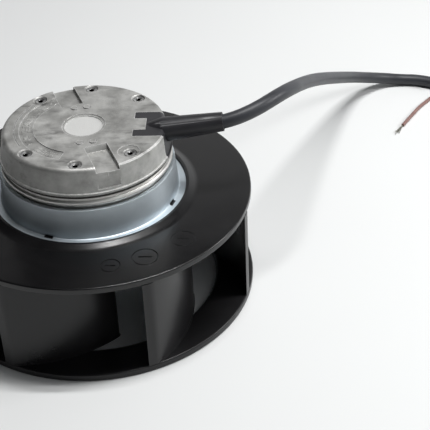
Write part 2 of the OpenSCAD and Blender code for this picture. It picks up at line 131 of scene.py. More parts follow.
def mathNode(tree, operation, a, b=None, clamp=False):
    node = tree.nodes.new("ShaderNodeMath")
    node.operation = operation
    node.use_clamp = clamp
    for value, socket in ((a, node.inputs[0]), (b, node.inputs[1])):
        if value is None:
            continue
        if isinstance(value, (int, float)):
            socket.default_value = value
        else:
            tree.links.new(value, socket)
    return node.outputs[0]


def spreadNode(tree, value, low, high, toLow=0.0, toHigh=1.0):
    node = tree.nodes.new("ShaderNodeMapRange")
    node.inputs["From Min"].default_value = low
    node.inputs["From Max"].default_value = high
    node.inputs["To Min"].default_value = toLow
    node.inputs["To Max"].default_value = toHigh
    tree.links.new(value, node.inputs["Value"])
    return node.outputs["Result"]


def times(tree, first, *others):
    for other in others:
        first = mathNode(tree, "MULTIPLY", first, other)
    return first


def lengthOf(tree, a, b):
    squares = mathNode(tree, "ADD", times(tree, a, a), times(tree, b, b))
    return mathNode(tree, "SQRT", squares)


def between(tree, value, low, high, soft):
    rise = spreadNode(tree, value, low - soft, low + soft)
    fall = spreadNode(tree, value, high + soft, high - soft)
    return times(tree, rise, fall)


def placeParts(tree, space="Object"):
    coords = tree.nodes.new("ShaderNodeTexCoord")
    split = tree.nodes.new("ShaderNodeSeparateXYZ")
    tree.links.new(coords.outputs[space], split.inputs[0])
    return split.outputs


def facingParts(tree):
    geometry = tree.nodes.new("ShaderNodeNewGeometry")
    split = tree.nodes.new("ShaderNodeSeparateXYZ")
    tree.links.new(geometry.outputs["Normal"], split.inputs[0])
    return split.outputs


def makeMottle():
    inputs = {"Blotch Scale": 60.0, "Grain Scale": 900.0}
    group, ins, outs = shaderGroup("mottle", inputs, ["Blotch", "Grain"])
    blotch = noiseNode(group, ins["Blotch Scale"], detail=5.0, roughness=0.6)
    grain = noiseNode(group, ins["Grain Scale"], detail=3.0, roughness=0.6)
    group.links.new(spreadNode(group, blotch, 0.3, 0.7), outs["Blotch"])
    group.links.new(spreadNode(group, grain, 0.25, 0.75), outs["Grain"])
    return group


def makeEdgeWearAndHighlight():
    # where a rounded normal leaves the true one there is an edge; edges are painted lighter, partly as wear
    # and partly as a painted highlight
    group, ins, outs = shaderGroup("edgeWearAndHighlight", {"Radius": 0.0008, "Breakup": 300.0}, ["Edge"])
    bevel = group.nodes.new("ShaderNodeBevel")
    bevel.samples = 6
    group.links.new(ins["Radius"], bevel.inputs["Radius"])
    geometry = group.nodes.new("ShaderNodeNewGeometry")
    dot = group.nodes.new("ShaderNodeVectorMath")
    dot.operation = "DOT_PRODUCT"
    group.links.new(bevel.outputs["Normal"], dot.inputs[0])
    group.links.new(geometry.outputs["Normal"], dot.inputs[1])
    edge = spreadNode(group, dot.outputs["Value"], 0.99, 0.85)
    wornAndLitEdge = noiseNode(group, ins["Breakup"], detail=3.0)
    wornAndLitEdge = spreadNode(group, wornAndLitEdge, 0.35, 0.6, toLow=0.35, toHigh=1.0)
    group.links.new(mathNode(group, "MULTIPLY", edge, wornAndLitEdge, clamp=True), outs["Edge"])
    return group


def makeDust():
    # specks and a thin film on the faces that look up
    filmScale = 35.0
    group, ins, outs = shaderGroup("dust", {"Speck Scale": 700.0, "Amount": 0.5}, ["Dust"])
    up = spreadNode(group, facingParts(group)["Z"], 0.4, 0.95)
    speck = spreadNode(group, noiseNode(group, ins["Speck Scale"], detail=2.0), 0.6, 0.75)
    film = noiseNode(group, filmScale, detail=4.0)
    film = spreadNode(group, film, 0.4, 0.75, toLow=0.0, toHigh=0.5)
    both = mathNode(group, "ADD", speck, film, clamp=True)
    group.links.new(times(group, up, both, ins["Amount"]), outs["Dust"])
    return group


shared = {"mottle": makeMottle(), "edgeWearAndHighlight": makeEdgeWearAndHighlight(), "dust": makeDust()}


def placeGroup(tree, name, values):
    node = tree.nodes.new("ShaderNodeGroup")
    node.node_tree = shared[name]
    for label, value in values.items():
        node.inputs[label].default_value = value
    return node.outputs


def startMaterial(name):
    material = bpy.data.materials.new(name)
    material.use_nodes = True
    tree = material.node_tree
    shader = next(n for n in tree.nodes if n.type == "BSDF_PRINCIPLED")
    return material, tree, shader.inputs


def blendColours(tree, amount, first, second):
    node = tree.nodes.new("ShaderNodeMix")
    node.data_type = "RGBA"
    tree.links.new(amount, node.inputs[0])
    for colour, socket in ((first, node.inputs[6]), (second, node.inputs[7])):
        if isinstance(colour, tuple):
            socket.default_value = (*colour, 1.0)
        else:
            tree.links.new(colour, socket)
    return node.outputs[2]


def addBump(tree, sockets, height, strength, distance):
    bump = tree.nodes.new("ShaderNodeBump")
    bump.inputs["Strength"].default_value = strength
    bump.inputs["Distance"].default_value = distance
    tree.links.new(height, bump.inputs["Height"])
    tree.links.new(bump.outputs["Normal"], sockets["Normal"])


def startSurface(tree, look):
    mottle = placeGroup(tree, "mottle", {"Blotch Scale": look["blotch"], "Grain Scale": look["grain"]})
    edge = placeGroup(tree, "edgeWearAndHighlight", {"Radius": look["edgeRadius"]})["Edge"]
    colour = blendColours(tree, mottle["Blotch"], look["dark"], look["light"])
    return mottle, times(tree, edge, look["edge"]), colour


def closeSurface(tree, sockets, look, colour, mottle):
    tree.links.new(colour, sockets["Base Color"])
    rough = spreadNode(tree, mottle["Blotch"], 0.0, 1.0, *look["rough"])
    tree.links.new(rough, sockets["Roughness"])


def metalFinish(name, look):
    grainDepth = 0.0002
    material, tree, sockets = startMaterial(name)
    sockets["Metallic"].default_value = look["metallic"]
    mottle, wornAndLitEdge, colour = startSurface(tree, look)
    colour = blendColours(tree, times(tree, mottle["Grain"], look["speck"]), colour, look["dark"])
    # edges painted lighter: wear and a painted highlight
    colour = blendColours(tree, wornAndLitEdge, colour, look["bright"])
    if "shadeBelow" in look:
        # painted shade in the bottom of the hex sockets
        level, soft = look["shadeBelow"], look["shadeSoft"]
        socketShade = spreadNode(tree, placeParts(tree)["Z"], level + soft, level - soft)
        colour = blendColours(tree, socketShade, colour, look["socketShade"])
    closeSurface(tree, sockets, look, colour, mottle)
    addBump(tree, sockets, mottle["Grain"], look["bump"], grainDepth)
    return material


def plasticFinish(name, look):
    grainDepth = 0.0001
    material, tree, sockets = startMaterial(name)
    sockets["Specular IOR Level"].default_value = look["gloss"]
    mottle, wornAndLitEdge, colour = startSurface(tree, look)
    dust = placeGroup(tree, "dust", {"Amount": look["dust"]})["Dust"]
    # edges painted lighter: wear and a painted highlight
    colour = blendColours(tree, wornAndLitEdge, colour, look["wornAndLitEdge"])
    colour = blendColours(tree, dust, colour, look["dustColour"])
    closeSurface(tree, sockets, look, colour, mottle)
    addBump(tree, sockets, mottle["Grain"], look["bump"], grainDepth)
    return material


metalLooks = {
    "zincSheet": {
        "metallic": 1.0, "blotch": 45.0, "grain": 700.0, "edgeRadius": 0.0006,
        "dark": (0.56, 0.62, 0.66), "light": (0.68, 0.74, 0.78), "bright": (0.85, 0.88, 0.9),
        "speck": 0.15, "edge": 0.5, "rough": (0.44, 0.52), "bump": 0.06,
    },
    "turnedAluminium": {
        "metallic": 0.85, "blotch": 110.0, "grain": 1600.0, "edgeRadius": 0.0006,
        "dark": (0.72, 0.71, 0.68), "light": (0.86, 0.85, 0.83), "bright": (0.93, 0.93, 0.92),
        "speck": 0.25, "edge": 0.4, "rough": (0.32, 0.42), "bump": 0.1,
    },
    "screwSteel": {
        "metallic": 1.0, "blotch": 120.0, "grain": 2000.0, "edgeRadius": 0.0003,
        "dark": (0.42, 0.42, 0.42), "light": (0.55, 0.55, 0.54), "bright": (0.85, 0.85, 0.84),
        "speck": 0.1, "edge": 0.5, "rough": (0.28, 0.36), "bump": 0.05,
        "shadeBelow": 0.1094, "shadeSoft": 0.0001, "socketShade": (0.01, 0.01, 0.01),
    },
    "groundSteel": {
        "metallic": 1.0, "blotch": 120.0, "grain": 2000.0, "edgeRadius": 0.0004,
        "dark": (0.52, 0.52, 0.52), "light": (0.62, 0.62, 0.61), "bright": (0.85, 0.85, 0.84),
        "speck": 0.1, "edge": 0.5, "rough": (0.2, 0.28), "bump": 0.05,
    },
    "stackedSteel": {
        "metallic": 0.9, "blotch": 90.0, "grain": 1200.0, "edgeRadius": 0.0004,
        "dark": (0.14, 0.145, 0.15), "light": (0.21, 0.215, 0.22), "bright": (0.4, 0.4, 0.4),
        "speck": 0.3, "edge": 0.4, "rough": (0.4, 0.55), "bump": 0.2,
    },
    "copperWire": {
        "metallic": 0.9, "blotch": 200.0, "grain": 2500.0, "edgeRadius": 0.0004,
        "dark": (0.42, 0.16, 0.05), "light": (0.58, 0.25, 0.09), "bright": (0.8, 0.45, 0.22),
        "speck": 0.2, "edge": 0.3, "rough": (0.25, 0.4), "bump": 0.3,
    },
    "pressedBrass": {
        "metallic": 1.0, "blotch": 150.0, "grain": 2000.0, "edgeRadius": 0.0003,
        "dark": (0.5, 0.36, 0.14), "light": (0.62, 0.47, 0.2), "bright": (0.85, 0.7, 0.4),
        "speck": 0.1, "edge": 0.4, "rough": (0.25, 0.35), "bump": 0.05,
    },
    "tinnedWire": {
        "metallic": 1.0, "blotch": 400.0, "grain": 4000.0, "edgeRadius": 0.0001,
        "dark": (0.36, 0.35, 0.3), "light": (0.55, 0.54, 0.48), "bright": (0.8, 0.8, 0.75),
        "speck": 0.2, "edge": 0.2, "rough": (0.3, 0.45), "bump": 0.1,
    },
    "sinteredMagnet": {
        "metallic": 0.2, "blotch": 120.0, "grain": 1800.0, "edgeRadius": 0.0004,
        "dark": (0.022, 0.022, 0.025), "light": (0.04, 0.04, 0.044), "bright": (0.12, 0.12, 0.12),
        "speck": 0.3, "edge": 0.4, "rough": (0.5, 0.65), "bump": 0.2,
    },
}
plasticLooks = {
    "wheelPlastic": {
        "gloss": 0.5, "blotch": 30.0, "grain": 2600.0, "edgeRadius": 0.0008,
        "dark": (0.0042, 0.004, 0.0045), "light": (0.0062, 0.006, 0.0065), "wornAndLitEdge": (0.04, 0.04, 0.042),
        "dustColour": (0.2, 0.19, 0.18), "dust": 0.02, "edge": 0.3, "rough": (0.2, 0.27), "bump": 0.06,
    },
    "bladePlastic": {
        "gloss": 0.38, "blotch": 30.0, "grain": 2600.0, "edgeRadius": 0.0008,
        "dark": (0.0075, 0.0073, 0.008), "light": (0.011, 0.0107, 0.0115), "wornAndLitEdge": (0.05, 0.05, 0.052),
        "dustColour": (0.2, 0.19, 0.18), "dust": 0.03, "edge": 0.3, "rough": (0.26, 0.34), "bump": 0.06,
    },
    "glandPlastic": {
        "gloss": 0.5, "blotch": 80.0, "grain": 2400.0, "edgeRadius": 0.0006,
        "dark": (0.015, 0.0147, 0.0175), "light": (0.023, 0.0225, 0.026), "wornAndLitEdge": (0.09, 0.09, 0.1),
        "dustColour": (0.25, 0.24, 0.23), "dust": 0.03, "edge": 0.4, "rough": (0.38, 0.47), "bump": 0.15,
    },
    "cableSheath": {
        "gloss": 0.5, "blotch": 45.0, "grain": 1600.0, "edgeRadius": 0.0004,
        "dark": (0.02, 0.0215, 0.027), "light": (0.031, 0.033, 0.04), "wornAndLitEdge": (0.1, 0.1, 0.11),
        "dustColour": (0.3, 0.3, 0.3), "dust": 0.08, "edge": 0.1, "rough": (0.42, 0.5), "bump": 0.12,
    },
    "gasketRubber": {
        "gloss": 0.4, "blotch": 90.0, "grain": 1500.0, "edgeRadius": 0.0003,
        "dark": (0.03, 0.028, 0.025), "light": (0.05, 0.047, 0.042), "wornAndLitEdge": (0.08, 0.08, 0.078),
        "dustColour": (0.2, 0.2, 0.2), "dust": 0.1, "edge": 0.2, "rough": (0.6, 0.75), "bump": 0.2,
    },
    "brownLead": {
        "gloss": 0.5, "blotch": 160.0, "grain": 2400.0, "edgeRadius": 0.0003,
        "dark": (0.2, 0.1, 0.085), "light": (0.27, 0.15, 0.13), "wornAndLitEdge": (0.35, 0.24, 0.22),
        "dustColour": (0.5, 0.45, 0.42), "dust": 0.2, "edge": 0.1, "rough": (0.35, 0.45), "bump": 0.1,
    },
    "blueLead": {
        "gloss": 0.5, "blotch": 160.0, "grain": 2400.0, "edgeRadius": 0.0003,
        "dark": (0.02, 0.06, 0.27), "light": (0.03, 0.09, 0.36), "wornAndLitEdge": (0.2, 0.26, 0.45),
        "dustColour": (0.5, 0.5, 0.5), "dust": 0.1, "edge": 0.1, "rough": (0.35, 0.45), "bump": 0.1,
    },
    "earthLead": {
        "gloss": 0.5, "blotch": 160.0, "grain": 2400.0, "edgeRadius": 0.0003,
        "dark": (0.1, 0.26, 0.03), "light": (0.5, 0.45, 0.03), "wornAndLitEdge": (0.4, 0.45, 0.2),
        "dustColour": (0.5, 0.5, 0.5), "dust": 0.1, "edge": 0.1, "rough": (0.35, 0.45), "bump": 0.1,
    },
    "slotLiner": {
        "gloss": 0.5, "blotch": 60.0, "grain": 1800.0, "edgeRadius": 0.0004,
        "dark": (0.6, 0.57, 0.48), "light": (0.68, 0.65, 0.56), "wornAndLitEdge": (0.75, 0.73, 0.66),
        "dustColour": (0.5, 0.5, 0.5), "dust": 0.05, "edge": 0.2, "rough": (0.45, 0.55), "bump": 0.1,
    },
    "boardLacquer": {
        "gloss": 0.5, "blotch": 140.0, "grain": 1500.0, "edgeRadius": 0.0003,
        "dark": (0.008, 0.07, 0.025), "light": (0.014, 0.11, 0.04), "wornAndLitEdge": (0.3, 0.3, 0.2),
        "dustColour": (0.4, 0.4, 0.4), "dust": 0.05, "edge": 0.3, "rough": (0.3, 0.4), "bump": 0.08,
    },
    "moduleBlack": {
        "gloss": 0.5, "blotch": 140.0, "grain": 2200.0, "edgeRadius": 0.0003,
        "dark": (0.018, 0.018, 0.02), "light": (0.03, 0.03, 0.033), "wornAndLitEdge": (0.1, 0.1, 0.1),
        "dustColour": (0.3, 0.3, 0.3), "dust": 0.05, "edge": 0.3, "rough": (0.45, 0.6), "bump": 0.15,
    },
}
coverLook = {
    "dark": (0.315, 0.313, 0.3), "light": (0.575, 0.573, 0.555), "bright": (0.9, 0.9, 0.89),
    "stainAndShade": (0.12, 0.118, 0.115), "disc": (0.66, 0.66, 0.645), "blotch": 85.0, "grain": 1400.0,
    "edgeRadius": 0.0009, "edge": 0.9, "rough": (0.46, 0.58), "metallic": (0.75, 0.35),
    "top": 108.6 * mm, "topSoft": 0.3 * mm, "discRadius": 10.9 * mm, "discSoft": 0.2 * mm,
    "stains": 0.85, "streakScale": 220.0, "streakStretch": (0.35, 1.0, 1.0), "patchScale": 55.0,
    "screwCircle": 41.2 * mm, "screwStep": math.tau / 8, "dirtRadius": (3.4 * mm, 6.5 * mm),
    "cleanAxis": (0.012, 0.018), "hollow": 2.5 * mm, "paintedShade": 0.85, "farSide": (0.01, -0.05),
    "farSideShade": 0.55, "bandRadius": (31 * mm, 35.2 * mm), "bandSoft": 0.2 * mm,
    "bandAngle": (2.2, 3.75), "cellScale": 420.0, "ribAngle": (3.9, 4.4), "ribRate": 150.0,
    "grainHeight": 0.2, "bump": 0.7, "bumpDepth": 0.0004,
}


def coverFinish(name, look):
    # cast skin with stains, dirt round the screws, painted shade in the hollows and on the far side faces,
    # edges painted lighter, a bare disc in the middle and a stippled band
    material, tree, sockets = startMaterial(name)
    mottle, wornAndLitEdge, colour = startSurface(tree, look)
    place = placeParts(tree)
    radius = lengthOf(tree, place["X"], place["Y"])
    angle = mathNode(tree, "ARCTAN2", place["Y"], place["X"])
    negative = mathNode(tree, "LESS_THAN", angle, 0.0)
    angle = mathNode(tree, "ADD", angle, times(tree, negative, math.tau))
    onTop = spreadNode(tree, place["Z"], look["top"] - look["topSoft"], look["top"] + look["topSoft"])

    # stains in streaks, more of them round the screws
    streaks = noiseNode(tree, look["streakScale"], 5.0, 0.65, look["streakStretch"])
    streaks = spreadNode(tree, streaks, 0.5, 0.72)
    patches = spreadNode(tree, noiseNode(tree, look["patchScale"], 3.0), 0.42, 0.62)
    stains = times(tree, streaks, patches, look["stains"])
    step = mathNode(tree, "ADD", angle, look["screwStep"] / 2)
    step = mathNode(tree, "SNAP", step, look["screwStep"])
    aside = times(tree, mathNode(tree, "SUBTRACT", angle, step), radius)
    inward = mathNode(tree, "SUBTRACT", radius, look["screwCircle"])
    dirtInner, dirtOuter = look["dirtRadius"]
    dirt = spreadNode(tree, lengthOf(tree, aside, inward), dirtOuter, dirtInner)
    offAxis = spreadNode(tree, mathNode(tree, "ABSOLUTE", place["Y"]), *look["cleanAxis"])
    dirt = times(tree, dirt, offAxis, times(tree, streaks, onTop))
    stains = mathNode(tree, "ADD", stains, dirt, clamp=True)
    colour = blendColours(tree, stains, colour, look["stainAndShade"])

    # painted shade in the hollows (from ambient occlusion) and on the side faces away from the gland
    hollow = tree.nodes.new("ShaderNodeAmbientOcclusion")
    hollow.samples = 8
    hollow.inputs["Distance"].default_value = look["hollow"]
    paintedShade = spreadNode(tree, hollow.outputs["AO"], 0.72, 0.35, 0.0, look["paintedShade"])
    onSide = spreadNode(tree, facingParts(tree)["Z"], 0.6, 0.35)
    farSide = spreadNode(tree, place["X"], *look["farSide"], 0.0, look["farSideShade"])
    paintedShade = mathNode(tree, "MAXIMUM", paintedShade, times(tree, onSide, farSide))
    # the painted shade takes the stain colour
    colour = blendColours(tree, paintedShade, colour, look["stainAndShade"])
    # edges painted lighter: wear and a painted highlight
    colour = blendColours(tree, wornAndLitEdge, colour, look["bright"])

    # bare disc
    disc = spreadNode(tree, radius, look["discRadius"] + look["discSoft"], look["discRadius"])
    disc = times(tree, disc, onTop)
    colour = blendColours(tree, disc, colour, look["disc"])
    tree.links.new(spreadNode(tree, disc, 0.0, 1.0, *look["metallic"]), sockets["Metallic"])
    closeSurface(tree, sockets, look, colour, mottle)

    # stipple and ribs on the band
    inBand = between(tree, radius, *look["bandRadius"], look["bandSoft"])
    cells = spreadNode(tree, noiseNode(tree, look["cellScale"], 1.0), 0.5, 0.53)
    stipple = times(tree, cells, between(tree, angle, *look["bandAngle"], 0.03))
    waves = mathNode(tree, "SINE", times(tree, angle, look["ribRate"]))
    ribs = times(tree, spreadNode(tree, waves, -0.2, 0.2), between(tree, angle, *look["ribAngle"], 0.02))
    relief = times(tree, mathNode(tree, "ADD", stipple, ribs), inBand, onTop)
    grain = times(tree, mottle["Grain"], look["grainHeight"])
    addBump(tree, sockets, mathNode(tree, "ADD", grain, relief), look["bump"], look["bumpDepth"])
    return material


finishes = {name: metalFinish(name, look) for name, look in metalLooks.items()}
finishes["coverSkin"] = coverFinish("coverSkin", coverLook)
finishes.update({name: plasticFinish(name, look) for name, look in plasticLooks.items()})
print("finishes made:", len(finishes))


# cable and leads, along the same routes as the solids
cable = {
    "diameter": 8.4 * mm,
    "mouth": (80, 0, 111.3),
    "route": [
        (74, 0, 110.49), (80, 0, 111.3), (87.5, 1.4, 112.8), (94.5, 4.3, 114.3),
        (101, 8.7, 115.4), (106.5, 14.1, 115.9), (111.3, 20, 115.7), (115, 26.1, 114.5),
        (120.3, 39.1, 109.9), (123.8, 52.5, 103.8), (130.5, 79, 91), (137.6, 105.6, 77.4),
        (145, 131.6, 63.4), (153, 157.3, 49.2), (161.5, 182.8, 34.9), (166.3, 195.2, 27.9),
        (172.2, 207.2, 21), (180, 217.8, 14.6), (190, 226.2, 9.3), (197.4, 229.8, 6.7),
        (204.6, 231.5, 5), (212, 231.9, 4.2), (219.6, 231.1, 4.2), (226.8, 229, 4.2),
        (233.5, 226, 4.2),
    ],
}
leads = {
    "diameter": 2.5 * mm,
    "brown": [
        (232.9, 224.6, 3.4), (235.6, 223.2, 2.9), (237.4, 220.6, 2.1), (237.3, 217.6, 1.5),
        (235.6, 215.2, 1.25), (230.6, 209.7, 1.25), (225.2, 203, 1.25), (219.8, 196, 1.25),
        (212, 183, 1.25), (204.5, 170, 1.25),
    ],
    "blue": [
        (234.1, 227.4, 3.4), (238.5, 225.6, 2.4), (244, 225.2, 1.5), (249.5, 227.5, 1.25),
        (253.5, 232, 1.25), (255.5, 239, 1.25), (255, 247, 1.25), (252.5, 255, 1.25),
        (249, 262, 1.25), (246, 270, 1.25),
    ],
    "earth": [
        (233.5, 226, 6), (237.5, 224.3, 5.6), (242, 221.6, 3.8), (247, 218, 1.8),
        (252, 213.5, 1.25), (256, 207.5, 1.25), (258, 200, 1.25), (258, 192, 1.25),
        (256, 184, 1.25), (254, 177, 1.25),
    ],
    "brownEnd": [(204.5, 170, 1.25), (202.4, 166.2, 1), (199.6, 160.6, 0.7)],
    "blueEnd": [(246, 270, 1.25), (244.6, 274, 1), (243, 279, 0.7)],
    "earthEnd": [(254, 177, 1.25), (252.8, 172.8, 1), (251.4, 167.6, 0.7)],
}


def smoothRoute(route, perSpan):
    # rounded line through all the route points
    points = [Vector(p) * mm for p in route]
    padded = [2 * points[0] - points[1], *points, 2 * points[-1] - points[-2]]
    line = []
    for i in range(1, len(padded) - 2):
        a, b, c, d = padded[i - 1:i + 3]
        t1 = (b - a).length ** 0.5
        t2 = t1 + (c - b).length ** 0.5
        t3 = t2 + (d - c).length ** 0.5
        for k in range(perSpan):
            t = t1 + (t2 - t1) * k / perSpan
            ab = a.lerp(b, t / t1)
            bc = b.lerp(c, (t - t1) / (t2 - t1))
            cd = c.lerp(d, (t - t2) / (t3 - t2))
            line.append(ab.lerp(bc, t / t2).lerp(bc.lerp(cd, (t - t1) / (t3 - t1)), (t - t1) / (t2 - t1)))
    line.append(points[-1])
    return line


def routeLength(line):
    return sum((b - a).length for a, b in zip(line, line[1:]))


def layCord(name, route, diameter, material, perSpan=5):
    line = smoothRoute(route, perSpan)
    data = bpy.data.curves.new(name, "CURVE")
    data.dimensions = "3D"
    data.bevel_depth = diameter / 2
    data.bevel_resolution = 5
    data.use_fill_caps = True
    spline = data.splines.new("POLY")
    spline.points.add(len(line) - 1)
    for point, place in zip(spline.points, line):
        point.co = (*place, 1.0)
    spline.use_smooth = True
    cord = bpy.data.objects.new(name, data)
    scene.collection.objects.link(cord)
    data.materials.append(material)
    return cord, line


powerCable, cableLine = layCord("powerCable", cable["route"], cable["diameter"], finishes["cableSheath"])
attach(powerCable, "stator")
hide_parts("power_cable")

for colour, node, slot in (("brown", "lead_brown", "lead_brown"), ("blue", "lead_blue", "lead_blue"),
                           ("earth", "lead_earth", "lead_green_yellow")):
    lead, leadLine = layCord(colour + "Lead", leads[colour], leads["diameter"], finishes[colour + "Lead"])
    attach(lead, "stator")
    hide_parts(node)
print("cable and leads laid,", round(routeLength(cableLine), 4), "m of cable")


# floor and light
floorLook = {
    "size": 6.0, "left": (0.66, 0.665, 0.665), "right": (0.815, 0.825, 0.82), "across": (-0.45, 0.2),
    "cloudScale": 3.0, "cloud": 0.06, "rough": 0.75, "gloss": 0.2,
}
worldLook = {"colour": (0.96, 0.98, 1.0, 1.0), "across": (-0.2, 0.9), "left": 0.01, "right": 0.6}
lamps = {
    "nearTube": {"at": (0.28, -0.024, 1.415), "aim": (0.28, -0.024, 0), "size": (0.6, 0.05), "power": 6.4},
    "farTube": {"at": (0.36, 0.087, 1.415), "aim": (0.36, 0.087, 0), "size": (0.6, 0.05), "power": 10.4},
    "backWall": {"at": (0.3, 2.5, 0.9), "aim": (0.3, 0, 0.9), "size": (4.0, 1.8), "power": 13},
    "windowLight": {"at": (1.4, 0.2, 0.75), "aim": (0, 0, 0.05), "size": (0.4, 0.4), "power": 7.5},
}


def addFloor(look):
    mesh = bpy.data.meshes.new("floor")
    half = look["size"] / 2
    corners = [(-half, -half, 0), (half, -half, 0), (half, half, 0), (-half, half, 0)]
    mesh.from_pydata(corners, [], [(0, 1, 2, 3)])
    floor = putInScene("floor", mesh)
    material, tree, sockets = startMaterial("paleTable")
    # painted shade: the table's colour darkens towards the left, with a faint cloud of tone
    across = spreadNode(tree, placeParts(tree)["X"], *look["across"])
    cloud = noiseNode(tree, look["cloudScale"], 3.0)
    cloud = spreadNode(tree, cloud, 0.3, 0.7, -look["cloud"], look["cloud"])
    amount = mathNode(tree, "ADD", across, cloud, clamp=True)
    tree.links.new(blendColours(tree, amount, look["left"], look["right"]), sockets["Base Color"])
    sockets["Roughness"].default_value = look["rough"]
    sockets["Specular IOR Level"].default_value = look["gloss"]
    paint(floor, material)


def addLamp(name, at, aim, size, power):
    data = bpy.data.lights.new(name, "AREA")
    data.shape = "RECTANGLE"
    data.size, data.size_y = size
    data.energy = power
    lamp = bpy.data.objects.new(name, data)
    lamp.location = at
    lamp.rotation_euler = (Vector(aim) - Vector(at)).to_track_quat("-Z", "Y").to_euler()
    scene.collection.objects.link(lamp)


def addWorld(look):
    world = bpy.data.worlds.new("studio")
    world.use_nodes = True
    tree = world.node_tree
    background = next(n for n in tree.nodes if n.type == "BACKGROUND")
    background.inputs["Color"].default_value = look["colour"]
    across = placeParts(tree, "Generated")["X"]
    strength = spreadNode(tree, across, *look["across"], look["left"], look["right"])
    tree.links.new(strength, background.inputs["Strength"])
    scene.world = world


addFloor(floorLook)
addWorld(worldLook)
for name, lamp in lamps.items():
    addLamp(name, **lamp)
print("floor and lamps placed")


# pieces from the solids with softened edges
def rollRim(shape, radius, corner, low, high, steps):
    # an even rounding in place of the solid's uneven triangles
    outSlack = 0.02
    levelSlack = 0.05 * mm
    flat = radius - corner
    old = [vert for vert in shape.verts if vert.co.xy.length > (flat + outSlack) * mm]
    bmesh.ops.delete(shape, geom=old, context="VERTS")
    rows = []
    for height, inward in ((high, -1), (low, 1)):
        row = [edge for edge in shape.edges
               if edge.is_boundary and abs(edge.verts[0].co.z - height * mm) < levelSlack]
        for step in range(1, steps + 1):
            angle = math.pi / 2 * step / steps
            grown = bmesh.ops.extrude_edge_only(shape, edges=row)["geom"]
            for vert in grown:
                if isinstance(vert, bmesh.types.BMVert):
                    reach = (flat + corner * math.sin(angle)) * mm / vert.co.xy.length
                    vert.co.x *= reach
                    vert.co.y *= reach
                    vert.co.z = (height + inward * corner * (1 - math.cos(angle))) * mm
            row = [edge for edge in grown if isinstance(edge, bmesh.types.BMEdge) and edge.is_boundary]
        rows += row
    bmesh.ops.bridge_loops(shape, edges=rows)
    bmesh.ops.recalc_face_normals(shape, faces=shape.faces)


def sharpenRing(mesh, inner, outer, degrees):
    # keep the edges of a narrow flank crisp
    shape = bmesh.new()
    shape.from_mesh(mesh)
    for edge in shape.edges:
        inRing = all(inner * mm < vert.co.xy.length < outer * mm for vert in edge.verts)
        if inRing and edge.calc_face_angle(0.0) > math.radians(degrees):
            edge.smooth = False
    shape.to_mesh(mesh)
    shape.free()


softLook = {"weld": 2e-6, "merge": 0.5, "mergeWithRim": 0.04, "bevelFrom": 32, "sharpFrom": 40, "weight": 90}


def softCopy(nodeName, pieceName, material, edge, keep=None, reshape=None, rim=None, crisp=None):
    mesh = cadNodes[nodeName].data.copy()
    mesh.name = pieceName
    if "custom_normal" in mesh.attributes:
        mesh.attributes.remove(mesh.attributes["custom_normal"])
    shape = bmesh.new()
    shape.from_mesh(mesh)
    if keep:
        bmesh.ops.delete(shape, geom=[v for v in shape.verts if not keep(v.co)], context="VERTS")
    bmesh.ops.remove_doubles(shape, verts=shape.verts, dist=softLook["weld"])
    if reshape:
        for vert in shape.verts:
            reshape(vert.co)
    if rim:
        rollRim(shape, **rim)
    merge = math.radians(softLook["mergeWithRim"] if rim else softLook["merge"])
    bmesh.ops.dissolve_limit(shape, angle_limit=merge, verts=shape.verts, edges=shape.edges)
    shape.to_mesh(mesh)
    shape.free()
    piece = putInScene(pieceName, mesh)
    bevel = piece.modifiers.new("softEdge", "BEVEL")
    bevel.width = edge
    bevel.segments = 2
    bevel.limit_method = "ANGLE"
    bevel.angle_limit = math.radians(softLook["bevelFrom"])
    bakeModifiers(piece)
    smoothByAngle(piece.data, softLook["sharpFrom"])
    if crisp:
        sharpenRing(piece.data, **crisp)
    even = piece.modifiers.new("evenNormals", "WEIGHTED_NORMAL")
    even.weight = softLook["weight"]
    even.keep_sharp = True
    bakeModifiers(piece)
    paint(piece, material)
    return piece


plateShape = {
    "top": 66.9, "slack": 0.02, "stamps": ((18.8, -74.7), (37.2, -67.4)), "stampReach": 8.5,
    "stampDepth": 0.35, "deeper": 0.9, "leastDeep": 0.15, "deepTowards": 1.1,
    "ringFoot": 64.0, "ringHeight": (1.2, 2.2),
    "ringLine": ((58, 57, 2.4), (61, 58.5, 2.4), (64, 61.4, 1.2)),
}


def shapePlate(place):
    # deeper stamp grooves and one straight flank on the ring round the collar
    radius = place.xy.length / mm
    height = place.z / mm - plateShape["top"]
    atFloor = abs(height + plateShape["stampDepth"]) < plateShape["slack"]
    for centre in plateShape["stamps"]:
        away = place.xy / mm - Vector(centre)
        if atFloor and away.length < plateShape["stampReach"]:
            share = math.cos(math.atan2(away.y, away.x) - plateShape["deepTowards"])
            place.z -= plateShape["deeper"] * max(plateShape["leastDeep"], share) * mm
    ringLow, ringHigh = plateShape["ringHeight"]
    if ringLow < height < ringHigh and radius < plateShape["ringFoot"]:
        newRadius, newHeight = next(row[1:] for row in plateShape["ringLine"] if radius < row[0])
        place.x *= newRadius / radius
        place.y *= newRadius / radius
        place.z = (plateShape["top"] + newHeight) * mm


coverShape = {
    "top": 110.6, "slack": 0.02, "marks": ((111.7, 20.2), (91.4, 20.0), (-90.5, 18.9), (-67.5, 19.2)),
    "markRadius": 2.1, "lift": 0.45,
}


def shapeCover(place):
    # raised casting marks
    for angle, reach in coverShape["marks"]:
        centre = Vector((math.cos(math.radians(angle)), math.sin(math.radians(angle)))) * reach
        onTop = abs(place.z / mm - coverShape["top"]) < coverShape["slack"]
        if onTop and (place.xy / mm - centre).length < coverShape["markRadius"]:
            place.z += coverShape["lift"] * mm


